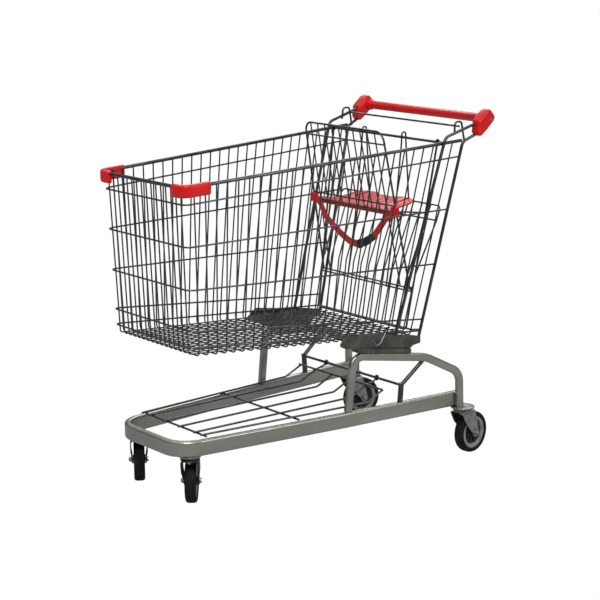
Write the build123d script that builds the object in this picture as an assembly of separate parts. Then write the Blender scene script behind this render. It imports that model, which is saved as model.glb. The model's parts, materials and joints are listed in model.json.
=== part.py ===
from build123d import *
import math
import os

# Shopping cart, millimetres. +X points forward to the basket nose, +Y to the cart's left, +Z up.
# Stations are measured from the rear caster pivots. save() moves every piece back by MID_X, so the
# written frame has its origin on the floor, under the middle of the cart's length and width.

# Overall
BUMPER_PROUD = 11.5
BUMPER_THICK = 16.0
BUMPER_HIGH = 35.0
BUMPER_DROP = 10.5
BUMPER_REAR_X = 875.0
BUMPER_NOSE_LENGTH = 50.0
# Station of the middle of the overall length, between the rear tyres and the bumpers' noses
MID_X = 432.13

# Basket shell: half width and height at the rim and at the floor
RIM_WIRE = 10.0
RIM_REAR = (18.0, 255.0, 948.0)
RIM_NOSE = (955.0, 198.0, 897.0)
FOOT_REAR = (150.0, 226.0, 386.0)
FOOT_NOSE = (935.0, 189.0, 440.0)
CORNER_R = 22.0
RING_WIRE = 5.0
UPRIGHT_WIRE = 4.2
FLOOR_WIRE = 4.0
FLOOR_REAR_X = 168.0
RING_HEIGHTS = ((851.0, 901.0), (738.0, 750.0), (622.0, 592.0), (510.0, 432.0))
LOW_RING = (465.0, 398.0)
SIDE_GAPS = 27
FRONT_PITCH = 22.0
FRONT_WIRES = 16
UPRIGHT_INSET = 6.8
WELD = 0.5
LIP = 13.0

# Handle
ARM_WIRE = 9.0
HANDLE_AXIS = (-76.0, 1004.0)
HANDLE_TUBE_R = 10.0
HANDLE_SLEEVE_R = 13.0
CAP_Y = (252.0, 283.0)
TUBE_END_Y = 258.0
CAP_OUTLINE = ((-70, 1037), (-98, 1008), (-62, 974), (-34, 955), (-24, 968), (-27, 1003), (-52, 1024))
ARM_CORNERS = ((-41.0, 264.0, 966.0), (-60.0, 264.0, 1002.0), (84.0, 259.0, 962.0))

# Chassis
TUBE_HIGH = 45.0
TUBE_WIDE = 20.0
TUBE_WALL = 2.0
TUBE_BASE = 150.0
TUBE_MID = TUBE_BASE + TUBE_HIGH / 2
TUBE_TOP = TUBE_BASE + TUBE_HIGH
NOSE_X = 952.0
NOSE_Y = 147.0
NOSE_R = 73.0
ARCH_DEEP = 24.0
ARCH_WIDE = 15.0
ARCH_FOOT_Z = 149.5
ARCH_REAR_Y = 254.2
ARCH_TOE = 0.131
ARCH_LINE = ((402.0, TUBE_TOP), (384.0, 356.0), (134.0, 319.0), (12.5, 256.0), (9.5, ARCH_FOOT_Z))
SADDLE_OUTLINE = (
    (452, 398), (424, 386), (196, 345), (179, 360), (150, 364),
    (150, 384), (193, 394), (370, 422), (411, 428),
)
SADDLE_Y = ((159.0, 230.0), (434.0, 216.5))
SADDLE_THICK = 3.0
SHELF_X = (190.0, 385.0)
SHELF_DEEP = 20.0
HOOK_LINE = ((282, 414), (300, 386), (315, 379), (331, 399))

# Gate and child seat
GATE_ROD_R = 4.0
GATE_ROD = (90.0, 947.0)
GATE_FOOT = (178.0, 402.0)
GATE_HALF_TOP = 232.0
GATE_HALF_FOOT = 200.0
GATE_WIRE = 5.0
GATE_FRAME_WIRE = 6.0
GATE_UPRIGHT_WIRE = 4.4
GATE_GAPS = 12
GATE_CROSS_Z = 513.0
GUARD_LINE = ((80.0, 716.0), (64.0, 757.0))
SEAT_HINGE = (161.0, 522.0)
SEAT_TOP = (250.0, 983.0)
SEAT_HALF_TOP = 174.0
SEAT_HALF_FOOT = 196.0
SEAT_WIRE = 5.0
SEAT_CROSS_Z = (747.0, 767.0, 946.0)
SEAT_GAPS = 11
SEAT_UPRIGHT = 4.2
SEAT_LEVEL = 741.0
STAY_Y = 176.0
HAIRPIN_Y = 88.0
GATE_EYE_Y = 231.6

# Seat plate: half of its outline, as (distance behind the hinge, y) points from the lip to the middle
PLATE_ROD_R = 3.0
PLATE_ROLL_R = 9.0
PLATE_THICK = 5.0
PLATE_BACK = 15.4
PLATE_RISE = 9.0
PLATE_HALF = 165.0
PLATE_OUTLINE = ((0, 165), (14, 165), (26, 132), (92, 132), (125, 104), (125, 52), (108, 22), (104, 0))
PLATE_SLOT = (60.0, 12.0)

# Belt: its middle line in an upright plane before the panel, as (y, z) points from anchor to buckle
BELT_X = 212.6
BELT_WIDE = 22.0
BELT_THICK = 2.0
RIGHT_ROUTE = ((-184, 758), (-148, 736), (-124, 699), (-60, 660), (-14, 639), (26, 634))
LEFT_ROUTE = ((184, 745), (150, 729), (124, 699), (97, 668))
BUCKLE_MIDDLE = (62, 648)
ANCHOR_SIZE = (16.0, 24.0, 28.0)

# Lower rack
RACK_ROD_R = 4.0
RACK_AXIS = (218.0, 246.0)
RACK_POST = 16.0
RACK_STAY = 12.0
RACK_WIRE = 6.0
RACK_Z = TUBE_TOP + RACK_WIRE * 1.5 + 0.1 - WELD
RACK_NOSE_X = 878.0
RACK_FOLD_X = 318.0
RACK_TOP = (258.0, 231.0)
# Half widths of each pair of long wires, at the nose and at the ramp
RACK_RAILS = (143.0, 190.0)
RACK_HOOKED = (110.0, 117.0)
RACK_MIDDLE = (37.0, 39.0)

# Casters
WHEEL_R = 62.5
WHEEL_WIDE = 32.0
TRAIL = 40.0
AXLE_R = 4.0
KING_R = 6.0
RUN = 0.05
RACE_Z = 143.0
CROWN_Z = (131.0, 136.0)
CROWN_SIZE = (58.0, 50.0)
FORK_LEG = ((-27, 136), (21, 136), (18, 118), (-30, 55), (-50, 57), (-42, 80))
FORK_Y = (18.5, 22.0)
TYRE_BORE = 48.0
REAR_PIVOT = (0.0, 258.0)
FRONT_PIVOT = (903.0, 126.0)
REAR_HOUSING_R = 36.0
FRONT_HOUSING_R = 33.0
REAR_SWIVEL = 7.5
FRONT_LEFT_SWIVEL = 50.0
FRONT_RIGHT_SWIVEL = 57.0


def save(name, *solids):
    """Writes one node: one solid, or a group of separate ones."""
    shape = solids[0] if len(solids) == 1 else Compound(children=list(solids))
    shape = shape.moved(Location((-MID_X, 0, 0)))
    shape.label = name
    export_step(shape, f"parts/{name}.step", write_pcurves=False)
    print(name, round(sum(solid.volume for solid in shape.solids()) / 1000, 1), "cm3")


def mix(a, b, t):
    """The point a fraction t of the way from a to b."""
    return tuple(p + (q - p) * t for p, q in zip(a, b))


def mirror_y(shape):
    return shape.mirror(Plane.XZ)


def mirrored_back(points):
    """The same points on the right side, in the order of the way back."""
    return [(x, -y, z) for x, y, z in reversed(points)]


def rod(a, b, diameter):
    """A straight round wire between two points."""
    axis = Vector(*b) - Vector(*a)
    return Solid.make_cylinder(diameter / 2, axis.length, Plane(origin=a, z_dir=axis))


def bent(points, diameter, radius):
    """A round wire bent at each inner point; radius is one number or one for each bend."""
    path = FilletPolyline(*points, radius=radius)
    start = Plane(origin=path @ 0, z_dir=path % 0)
    return sweep(start * Circle(diameter / 2), path=path).solid()


def ring(centre, inner_r, wire):
    """An eye of round wire about a rod that runs along Y."""
    plane = Plane(origin=centre, x_dir=(1, 0, 0), z_dir=(0, 1, 0))
    return Solid.make_torus(inner_r + wire / 2, wire / 2, plane)


def tube_y(centre, outer_r, inner_r, length):
    """A round collar about the Y direction."""
    plane = Plane(origin=centre, x_dir=(1, 0, 0), z_dir=(0, 1, 0))
    body = plane * Cylinder(outer_r, length)
    if inner_r:
        body = body - plane * Cylinder(inner_r, length + 1)
    return body.solid()


def largest(shape):
    """The main solid of a cut that also leaves slivers."""
    return max(shape.solids(), key=lambda solid: solid.volume)


def join(solids):
    """Welds pieces into one solid."""
    first, *others = solids
    return first.fuse(*others).solid()


# ---------------------------------------------------------------------------------------------
# Basket


def rim_point(x):
    """Centre of the rim wire on the left side."""
    return mix(RIM_REAR, RIM_NOSE, (x - RIM_REAR[0]) / (RIM_NOSE[0] - RIM_REAR[0]))


def side_line(t):
    """Top and foot of the left wall at fraction t from the rear post to the nose."""
    return mix((9.0, 255.5, 948.5), RIM_NOSE, t), mix(FOOT_REAR, FOOT_NOSE, t)


def side_upright(t):
    """Top, lip and foot of one wall wire: it stands inside the rim and turns under at the floor."""
    top, foot = side_line(t)
    top = (top[0], top[1] - UPRIGHT_INSET, top[2])
    foot = (foot[0], foot[1] - UPRIGHT_INSET, foot[2])
    return top, mix(foot, top, LIP / math.dist(foot, top)), foot


def front_x(z, inset=0.0):
    t = (RIM_NOSE[2] - z) / (RIM_NOSE[2] - FOOT_NOSE[2])
    return RIM_NOSE[0] + (FOOT_NOSE[0] - RIM_NOSE[0]) * t - inset


def front_half(z):
    t = (RIM_NOSE[2] - z) / (RIM_NOSE[2] - FOOT_NOSE[2])
    return RIM_NOSE[1] + (FOOT_NOSE[1] - RIM_NOSE[1]) * t


def ring_inset():
    """Rings lie outside the uprights and bite into them by a weld's depth."""
    return UPRIGHT_INSET - (UPRIGHT_WIRE + RING_WIRE) / 2 + WELD


def post_point(z):
    """Centre of the left rear post."""
    top, foot = (11.0, 255.5, 948.0), (156.0, 226.0, 365.0)
    return mix(top, foot, (top[2] - z) / (top[2] - foot[2]))


def ring_corner(nose_z):
    inset = ring_inset()
    return (front_x(nose_z, inset), front_half(nose_z) - inset, nose_z)


def side_ring(nose_z, rear_z):
    """The straight left stretch of a ring wire, from the rear post to the corner's arc."""
    corner = ring_corner(nose_z)
    post = post_point(rear_z)
    rear = (post[0] + ARM_WIRE / 2 - WELD, post[1] - ring_inset(), rear_z)
    length = math.dist(rear, corner)
    return rear, mix(rear, corner, 1 - corner_setback(rear, corner) / length)


def corner_setback(rear, corner):
    """Distance from the corner's sharp point to where its arc starts."""
    turn = math.pi / 2 - math.atan2(rear[1] - corner[1], corner[0] - rear[0])
    return CORNER_R * math.tan(turn / 2)


def make_rim():
    left = [RIM_REAR, RIM_NOSE]
    return bent(left + mirrored_back(left), RIM_WIRE, CORNER_R + 6)


def make_left_wall():
    rings = [side_ring(*heights) for heights in RING_HEIGHTS + (LOW_RING,)]
    wires = [rod(a, b, RING_WIRE) for a, b in rings]
    wires += [rod(*side_upright(k / SIDE_GAPS)[:2], UPRIGHT_WIRE) for k in range(1, SIDE_GAPS)]
    return join(wires)


def front_upright(k):
    y = FRONT_PITCH * (k - (FRONT_WIRES - 1) / 2)
    spread = RIM_NOSE[1] / FOOT_NOSE[1]
    top = (front_x(RIM_NOSE[2], UPRIGHT_INSET), y * spread, RIM_NOSE[2])
    foot = (front_x(FOOT_NOSE[2], UPRIGHT_INSET), y, FOOT_NOSE[2])
    return top, mix(foot, top, LIP / math.dist(foot, top)), foot


def front_ring(nose_z, rear_z):
    """The nose stretch of a ring wire, with both rounded corners."""
    left = side_ring(nose_z, rear_z)[1]
    corner = ring_corner(nose_z)
    other = (corner[0], -corner[1], corner[2])
    right = (left[0], -left[1], left[2])
    return bent([left, corner, other, right], RING_WIRE, CORNER_R - 0.05)


def make_front_wall():
    wires = [front_ring(*heights) for heights in RING_HEIGHTS + (LOW_RING,)]
    wires += [rod(*front_upright(k)[:2], UPRIGHT_WIRE) for k in range(FRONT_WIRES)]
    return join(wires)


def make_floor():
    """Cross wires turn up into the side walls, long wires on top turn up into the nose wall."""
    wires = []
    for k in range(1, SIDE_GAPS):
        lip, foot = side_upright(k / SIDE_GAPS)[1:]
        points = [lip, foot, (foot[0], -foot[1], foot[2]), (lip[0], -lip[1], lip[2])]
        wires.append(bent(points, UPRIGHT_WIRE, LIP - 1))
    rise = (UPRIGHT_WIRE + FLOOR_WIRE) / 2 - WELD
    slope = (FOOT_NOSE[2] - FOOT_REAR[2]) / (FOOT_NOSE[0] - FOOT_REAR[0])
    for k in range(FRONT_WIRES):
        lip, foot = front_upright(k)[1:]
        foot = (foot[0], foot[1], foot[2] + rise)
        rear_y = foot[1] * FOOT_REAR[1] / FOOT_NOSE[1]
        rear = (FLOOR_REAR_X, rear_y, foot[2] - slope * (foot[0] - FLOOR_REAR_X))
        wires.append(bent([lip, foot, rear], FLOOR_WIRE, LIP - rise - 1))
    return join(wires)


def make_rear_cross_wire():
    """The low wire between the rear posts that the gate's foot rests against."""
    wire = 6.0
    z = GATE_FOOT[1]
    x = GATE_FOOT[0] - gate_upright_set() - (GATE_UPRIGHT_WIRE + wire) / 2 - 0.3
    post = post_point(z)
    left = [(post[0] + 3, post[1] - 3, z), (x, 212, z)]
    return bent(left + mirrored_back(left), wire, 9)


def make_left_bumper(rim):
    """A plastic corner guard over the rim: an L in plan, with a groove that the rim lies in."""
    out = BUMPER_PROUD - BUMPER_THICK / 2
    rear, nose = rim_point(BUMPER_REAR_X), RIM_NOSE
    path = FilletPolyline(
        (rear[0], rear[1] + out, rear[2] - BUMPER_DROP),
        (nose[0] + out, nose[1] + out, nose[2] - BUMPER_DROP),
        (nose[0] + out, nose[1] - BUMPER_NOSE_LENGTH, nose[2] - BUMPER_DROP),
        radius=CORNER_R + 6 + out,
    )
    start = Plane(origin=path @ 0, x_dir=(path % 0).cross(Vector(0, 0, 1)), z_dir=path % 0)
    body = sweep(start * RectangleRounded(BUMPER_THICK, BUMPER_HIGH, 5), path=path)
    return (body - rim).solid()


# ---------------------------------------------------------------------------------------------
# Handle


def make_left_arm():
    """One wire: the rear post, the lower arm, a turn inside the end cap, the upper arm and a stay."""
    foot = post_point(365.0)
    elbow = post_point(944.0)
    stay_foot = (foot[0] + 92, 233.0, 402.0)
    return bent([foot, elbow, *ARM_CORNERS, stay_foot], ARM_WIRE, [24, 12, 12, 24])


def make_left_cap(arm, tube):
    """A plastic end cap, a rounded outline in side view, bored for the tube and the arm."""
    outline = Polyline(*CAP_OUTLINE, close=True)
    face = make_face(Plane(origin=(0, 0, 0), x_dir=(1, 0, 0), z_dir=(0, -1, 0)) * outline)
    face = fillet(face.vertices(), 9.0)
    low, high = CAP_Y
    body = extrude(face, amount=high - low, dir=(0, 1, 0)).moved(Location((0, low, 0)))
    body = fillet(body.edges().filter_by(Plane.XZ), 5.0)
    return largest(body - arm - tube)


def make_cap_screw():
    """A countersunk screw through the cap's outer face into the tube's end."""
    x, z = HANDLE_AXIS
    plane = Plane(origin=(x, CAP_Y[1] - 3, z), x_dir=(1, 0, 0), z_dir=(0, 1, 0))
    head = plane * Pos(0, 0, 1.5) * Cylinder(5, 3)
    shank = plane * Pos(0, 0, -4) * Cylinder(2.5, 8)
    slot = plane * Pos(0, 0, 2.6) * Box(8, 1.4, 1.6)
    return (head + shank - slot).solid()


def make_brace_loop():
    """A loop that ties the upper and the lower arm together and carries the brace rod."""
    y = 249.5
    return bent([(2, y + 1, 946), (13, y, 1002), (38, y, 1002), (41, y + 1, 968)], 6.0, [10, 10])


# ---------------------------------------------------------------------------------------------
# Chassis


def hollow(points, radius, section, wall_section):
    path = FilletPolyline(*points, radius=radius)
    start = Plane(origin=path @ 0, x_dir=(0, 0, 1), z_dir=path % 0)
    outer = sweep(start * section, path=path)
    inner = sweep(start * wall_section, path=path)
    return (outer - inner).solid()


def chassis_points():
    left = [(-8.0, 238.4, TUBE_MID), (419.0, 205.0, TUBE_MID), (NOSE_X, NOSE_Y, TUBE_MID)]
    return left + mirrored_back(left)


def make_chassis():
    section = RectangleRounded(TUBE_HIGH, TUBE_WIDE, 7)
    inner = RectangleRounded(TUBE_HIGH - 2 * TUBE_WALL, TUBE_WIDE - 2 * TUBE_WALL, 5)
    return hollow(chassis_points(), [300, NOSE_R, NOSE_R, 300], section, inner)


def arch_y(x):
    """The arch stands in one upright plane that runs inward towards the front."""
    return ARCH_REAR_Y - ARCH_TOE * (x - 10.0)


def arch_top(x):
    """Height of the upper face of the arch's long straight stretch."""
    (nose_x, nose_z), (rear_x, rear_z) = ARCH_LINE[1:3]
    slope = (nose_z - rear_z) / (nose_x - rear_x)
    return rear_z + slope * (x - rear_x) + ARCH_DEEP / 2 * math.hypot(1, slope)


def make_left_arch():
    path = FilletPolyline(*[(x, arch_y(x), z) for x, z in ARCH_LINE], radius=[34, 110, 48])
    side = Vector(1, -ARCH_TOE, 0).normalized().cross(Vector(0, 0, 1))
    start = Plane(origin=path @ 0, x_dir=side, z_dir=path % 0)
    outer = sweep(start * RectangleRounded(ARCH_WIDE, ARCH_DEEP, 5), path=path)
    hollow_by = 2 * TUBE_WALL
    inner = sweep(start * RectangleRounded(ARCH_WIDE - hollow_by, ARCH_DEEP - hollow_by, 3), path=path)
    return (outer - inner).solid()


def saddle_y(x):
    """The saddle's inner face follows the basket's side."""
    (rear_x, rear_y), (nose_x, nose_y) = SADDLE_Y
    return rear_y + (nose_y - rear_y) * (x - rear_x) / (nose_x - rear_x)


def make_left_saddle():
    """A steel plate against the basket's side with a shelf that lies on the arch."""
    outline = [(x, saddle_y(x), z) for x, z in SADDLE_OUTLINE]
    plate = extrude(make_face(Polyline(*outline, close=True)), amount=SADDLE_THICK, dir=(0, 1, 0))
    shelf_corners = []
    for x, half in zip(SHELF_X, (SHELF_DEEP / 2, SHELF_DEEP / 2 + 5)):
        z = arch_top(x) - WELD
        ends = [(x, arch_y(x) - SHELF_DEEP / 2, z), (x, arch_y(x) + half, z)]
        shelf_corners += ends if not shelf_corners else reversed(ends)
    shelf = extrude(make_face(Polyline(*shelf_corners, close=True)), amount=14, dir=(0, 0, 1))
    return (plate + shelf).solid()


def make_saddle_hook():
    """A small wire hook welded to the saddle's face."""
    wire = 4.0
    lift = SADDLE_THICK + wire / 2 - WELD
    return bent([(x, saddle_y(x) + lift, z) for x, z in HOOK_LINE], wire, 8)


# ---------------------------------------------------------------------------------------------
# Gate and child seat


def gate_x(z):
    return GATE_ROD[0] + (GATE_FOOT[0] - GATE_ROD[0]) * (GATE_ROD[1] - z) / (GATE_ROD[1] - GATE_FOOT[1])


def gate_half(z):
    t = (GATE_ROD[1] - z) / (GATE_ROD[1] - GATE_FOOT[1])
    return GATE_HALF_TOP + (GATE_HALF_FOOT - GATE_HALF_TOP) * t


def gate_at(y_share, z, forward=0.0):
    return (gate_x(z) + forward, gate_half(z) * y_share, z)


def seat_x(z):
    t = (z - SEAT_HINGE[1]) / (SEAT_TOP[1] - SEAT_HINGE[1])
    return SEAT_HINGE[0] + (SEAT_TOP[0] - SEAT_HINGE[0]) * t


def seat_half(z):
    t = (z - SEAT_HINGE[1]) / (SEAT_TOP[1] - SEAT_HINGE[1])
    return SEAT_HALF_FOOT + (SEAT_HALF_TOP - SEAT_HALF_FOOT) * t


def seat_at(y_share, z, forward=0.0):
    return (seat_x(z) + forward, seat_half(z) * y_share, z)


def gate_upright_set():
    """How far the gate's uprights lie behind its frame."""
    return (GATE_FRAME_WIRE + GATE_UPRIGHT_WIRE) / 2 - WELD


def make_gate():
    """Outer frame, one cross wire, and uprights that lean back below the leg openings."""
    top, foot, bend = 940.0, GATE_FOOT[1], 560.0
    left = [gate_at(1, top), gate_at(1, foot)]
    wires = [bent(left + mirrored_back(left), GATE_FRAME_WIRE, 12)]
    wires.append(rod(gate_at(1, GATE_CROSS_Z), gate_at(-1, GATE_CROSS_Z), GATE_WIRE))
    beside = (GATE_WIRE + GATE_UPRIGHT_WIRE) / 2 - WELD
    back = gate_upright_set()
    for k in range(1, GATE_GAPS):
        share = -1 + 2 * k / GATE_GAPS
        points = [gate_at(share, foot, -back), gate_at(share, bend, -back)]
        points += [(x + beside, share * gate_half(z), z + 1) for x, z in GUARD_LINE]
        wires.append(bent(points, GATE_UPRIGHT_WIRE, 30))
    return join(wires)


def make_hairpin(y):
    """A long loop that hangs over the gate rod, from the gate's cross wire to the leg guard."""
    x, z = GATE_ROD
    reach = 7.0
    beside = GATE_WIRE - WELD
    front = [(gate_x(h) - beside, y, h) for h in (GATE_CROSS_Z - 5, 700.0)]
    front += [(x + reach + 2, y, z - 18), (x + reach, y, z + 15.5)]
    rear = [(x - reach, y, z + 15.5), (x - reach - 2, y, z - 18)]
    rear += [(px + beside, y, pz) for px, pz in reversed(GUARD_LINE)]
    return bent(front + rear, GATE_WIRE, [60, 60, 6.5, 6.5, 60, 30])


def make_leg_guard():
    """Two cross wires behind the leg openings, on side wires that lean back from the gate."""
    side = 221.0
    left = [(gate_x(560) - 3, gate_half(560) - 3, 560)]
    left += [(x, side, z) for x, z in GUARD_LINE]
    low_x, low_z = GUARD_LINE[0]
    frame = bent(left + mirrored_back(left), GATE_WIRE, [40, 14, 14, 40])
    return join([frame, rod((low_x, side - 2, low_z), (low_x, 2 - side, low_z), GATE_WIRE)])


def make_gate_clips():
    """A ring in the middle and a sleeve at each end hold the seat back's foot wire on the gate."""
    x, z = SEAT_HINGE
    bore = SEAT_WIRE / 2 + RUN
    low, high = 199.5, gate_half(z) - 1.4
    sleeves = [tube_y((x, side * (low + high) / 2, z), 5.5, bore, high - low) for side in (1, -1)]
    return [ring((x, 0, z), bore, 3.0), *sleeves]


def make_seat_grid():
    """The back panel: a hoop, cross wires and uprights. Its foot wire is the hinge pin. Only the
    outermost uprights reach down to it, the others end at the seat."""
    foot, top = SEAT_HINGE[1], SEAT_TOP[1]
    left = [seat_at(1, foot), seat_at(1, top)]
    wires = [bent(left + mirrored_back(left), 6.0, 30)]
    pin_half = gate_half(foot) - GATE_FRAME_WIRE / 2 - 0.6
    wires.append(rod((SEAT_HINGE[0], pin_half, foot), (SEAT_HINGE[0], -pin_half, foot), SEAT_WIRE))
    wires += [rod(seat_at(1, z), seat_at(-1, z), SEAT_WIRE) for z in SEAT_CROSS_Z]
    out = (SEAT_WIRE + SEAT_UPRIGHT) / 2 - WELD
    for k in range(1, SEAT_GAPS):
        share = -1 + 2 * k / SEAT_GAPS
        low = foot if k in (1, SEAT_GAPS - 1) else SEAT_CROSS_Z[0] - 3
        wires.append(rod(seat_at(share, low, out), seat_at(share, top - 2, out), SEAT_UPRIGHT))
    return join(wires)


def plate_axis():
    return seat_x(SEAT_LEVEL) - PLATE_BACK, SEAT_LEVEL


def make_plate_rod():
    """The plate's hinge rod behind the panel; its ends are welded to the panel's sides."""
    x, z = plate_axis()
    side = seat_half(z) - 3
    left = [(seat_x(z) - 2.5, side - 0.5, z), (x, side - 2, z)]
    return bent(left + mirrored_back(left), 2 * PLATE_ROD_R, 5)


def make_seat_stay():
    """A side wire from the panel that slides over the leg guard's lower wire when the seat folds."""
    z = SEAT_LEVEL + 10
    start = (seat_x(z), seat_half(z) - 2, z)
    return bent([start, (196.0, STAY_Y, z - 2), (92.0, STAY_Y, 735.0), (72.0, STAY_Y, 729.0)], SEAT_WIRE, 10)


def make_seat_plate():
    """Two rounded lobes behind a hinge roll, with slots that clear the gate's hairpins."""
    x, z = plate_axis()
    left = [(x - r, y) for r, y in PLATE_OUTLINE]
    right = [(px, -py) for px, py in reversed(left[:-1])]
    face = make_face(Polyline(*left, *right, close=True))
    inner = [v for v in face.vertices() if v.X < x - 1]
    flat = fillet(inner, 8)
    slot_start, slot_wide = PLATE_SLOT
    slot_long = 100.0
    for y in (-HAIRPIN_Y, HAIRPIN_Y):
        middle = x - slot_start - slot_long / 2
        flat = flat - Pos(middle, y) * RectangleRounded(slot_long, slot_wide, slot_wide / 2 - 0.1)
    slab = extrude(flat, amount=PLATE_THICK)
    slab = slab.rotate(Axis((x, 0, 0), (0, 1, 0)), PLATE_RISE).moved(Location((0, 0, z)))
    roll = tube_y((x, 0, z), PLATE_ROLL_R, 0, 2 * PLATE_HALF)
    bore = tube_y((x, 0, z), PLATE_ROD_R + RUN, 0, 2 * PLATE_HALF + 2)
    return (slab + roll - bore).solid()


def belt_at(y, z):
    return BELT_X, y, z


def make_strap(route, radius):
    """Flat webbing that hangs in an upright plane."""
    path = FilletPolyline(*[belt_at(y, z) for y, z in route], radius=radius)
    start = Plane(origin=path @ 0, x_dir=(1, 0, 0), z_dir=path % 0)
    return sweep(start * Rectangle(BELT_THICK, BELT_WIDE), path=path).solid()


def make_belt_anchor():
    """A plastic tab around the panel's side wire that holds the strap's end."""
    body = Box(*ANCHOR_SIZE)
    body = fillet(body.edges(), 3)
    return body.moved(Location(seat_at(1, SEAT_LEVEL + 10, 3) + Vector(0, -3, 0))).solid()


def make_buckle_half(a, b, wide, thick):
    """A rounded block between two points of the belt's line."""
    start, end = Vector(*belt_at(*a)), Vector(*belt_at(*b))
    plane = Plane(origin=start, x_dir=(1, 0, 0), z_dir=end - start)
    return extrude(plane * RectangleRounded(thick, wide, 3), amount=(end - start).length).solid()


# ---------------------------------------------------------------------------------------------
# Lower rack


def make_rack_rod():
    x, z = RACK_AXIS
    return rod((x, 226, z), (x, -226, z), 2 * RACK_ROD_R)


def make_rack_post():
    """The upright that carries the rack rod: from the chassis tube to the rod, tied to the arch."""
    x, z = RACK_AXIS
    y, tie_x = 226.0, 138.0
    post = rod((x, y - 5.5, TUBE_TOP - WELD), (x, y, z + 6), RACK_POST)
    stay = rod((x, y, z), (tie_x, arch_y(tie_x) - 5, 310.0), RACK_STAY)
    return join([post, stay])


def make_rack():
    """Long wires that ramp up at the rear, on cross wires that rest on the tubes. One pair goes on
    to the rod, where its eyes are."""
    x, z = RACK_AXIS
    hook = (x + 8, z - RACK_ROD_R - RACK_WIRE / 2 - RUN)
    top_x, top_z = RACK_TOP
    wires = []
    for nose_half, rear_half in (RACK_RAILS, RACK_HOOKED, RACK_MIDDLE):
        for side in (1, -1):
            y = side * rear_half
            points = [(RACK_NOSE_X, side * nose_half, RACK_Z), (RACK_FOLD_X, y, RACK_Z), (top_x, y, top_z)]
            if rear_half == RACK_HOOKED[1]:
                points.append((hook[0], y, hook[1]))
            wires.append(bent(points, RACK_WIRE, 20))
    under = RACK_WIRE - WELD
    rows = ((RACK_NOSE_X - 1, 145, 0), (RACK_NOSE_X - 16, 147, -under), (568, 185, -under))
    for row_x, half, drop in rows:
        wires.append(rod((row_x, half, RACK_Z + drop), (row_x, -half, RACK_Z + drop), RACK_WIRE))
    half = RACK_RAILS[1] + 3
    wires.append(rod((top_x + 5, half, top_z + 2), (top_x + 5, -half, top_z + 2), RACK_WIRE))
    return join(wires)


# ---------------------------------------------------------------------------------------------
# Casters


def make_housing(pivot, top_z, radius, king):
    body = Pos(*pivot, (RACE_Z + top_z) / 2) * Cylinder(radius, top_z - RACE_Z)
    return (body - king).solid()


def make_king(pivot, top_z):
    low = CROWN_Z[0] - RUN - 7
    shank = Pos(*pivot, (low + top_z - 2) / 2) * Cylinder(KING_R, top_z - 2 - low)
    nut = Pos(*pivot, low) * extrude(RegularPolygon(9.5, 6), amount=7)
    return (shank + nut).solid()


def caster_place(pivot, swivel):
    return Location((*pivot, 0), (0, 0, swivel))


def wheel_plane():
    return Plane(origin=(-TRAIL, 0, WHEEL_R), x_dir=(1, 0, 0), z_dir=(0, 1, 0))


def make_fork(place):
    """Crown, race and two tapering legs in sheet steel."""
    low, high = CROWN_Z
    inner, outer = FORK_Y
    crown = Pos(-3, 0, (low + high) / 2) * Box(*CROWN_SIZE, high - low)
    crown = fillet(crown.edges().filter_by(Axis.Z), 12)
    race = Pos(0, 0, (high + RACE_Z - RUN) / 2) * Cylinder(27, RACE_Z - RUN - high)
    outline = Polyline(*FORK_LEG, close=True)
    leg_face = make_face(Plane.XZ * outline)
    body = crown + race
    for side in (-1, 1):
        leg = extrude(leg_face, amount=outer - inner, dir=(0, 1, 0))
        foot = wheel_plane() * Pos(0, 0, (outer - inner) / 2) * Cylinder(13, outer - inner)
        leg = (leg + foot).moved(Location((0, inner if side > 0 else -outer, 0)))
        body = body + leg
    body = body - wheel_plane() * Cylinder(AXLE_R, 80) - Pos(0, 0, low) * Cylinder(KING_R + RUN, 60)
    return body.solid().moved(place)


def make_axle(place):
    """The axle bolt with its head and nut outside the fork."""
    outer = FORK_Y[1]
    plane = wheel_plane()
    bolt = plane * Cylinder(AXLE_R, 2 * outer + 14)
    head = plane * Pos(0, 0, outer) * extrude(RegularPolygon(7.5, 6), amount=5)
    nut = plane * Pos(0, 0, -outer - 6) * extrude(RegularPolygon(7.5, 6), amount=6)
    return (bolt + head + nut).solid().moved(place)


def make_tyre(place):
    body = wheel_plane() * Cylinder(WHEEL_R, WHEEL_WIDE)
    body = fillet(body.edges().filter_by(GeomType.CIRCLE), 7)
    return (body - wheel_plane() * Cylinder(TYRE_BORE, 60)).solid().moved(place)


def make_hub(place):
    """Rim ring, web and boss, with a running bore."""
    plane = wheel_plane()
    body = plane * Cylinder(TYRE_BORE, 25)
    for side in (-1, 1):
        body = body - plane * Pos(0, 0, side * 12.5) * (Cylinder(38, 13) - Cylinder(17, 14))
    body = body + plane * Cylinder(14, 2 * (FORK_Y[0] - RUN))
    return (body - plane * Cylinder(AXLE_R + RUN, 60)).solid().moved(place)


def save_caster(name, pivot, swivel):
    place = caster_place(pivot, swivel)
    save(f"{name}_fork", make_fork(place))
    save(f"{name}_axle", make_axle(place))
    save(f"{name}_tyre", make_tyre(place))
    save(f"{name}_hub", make_hub(place))


# ---------------------------------------------------------------------------------------------


def save_pair(left_name, right_name, left):
    save(left_name, left)
    save(right_name, mirror_y(left))


def save_basket():
    rim = make_rim()
    save("basket_rim", rim)
    save_pair("left_wall", "right_wall", make_left_wall())
    save("front_wall", make_front_wall())
    save("basket_floor", make_floor())
    save("rear_cross_wire", make_rear_cross_wire())
    save_pair("left_bumper", "right_bumper", make_left_bumper(rim))


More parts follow.
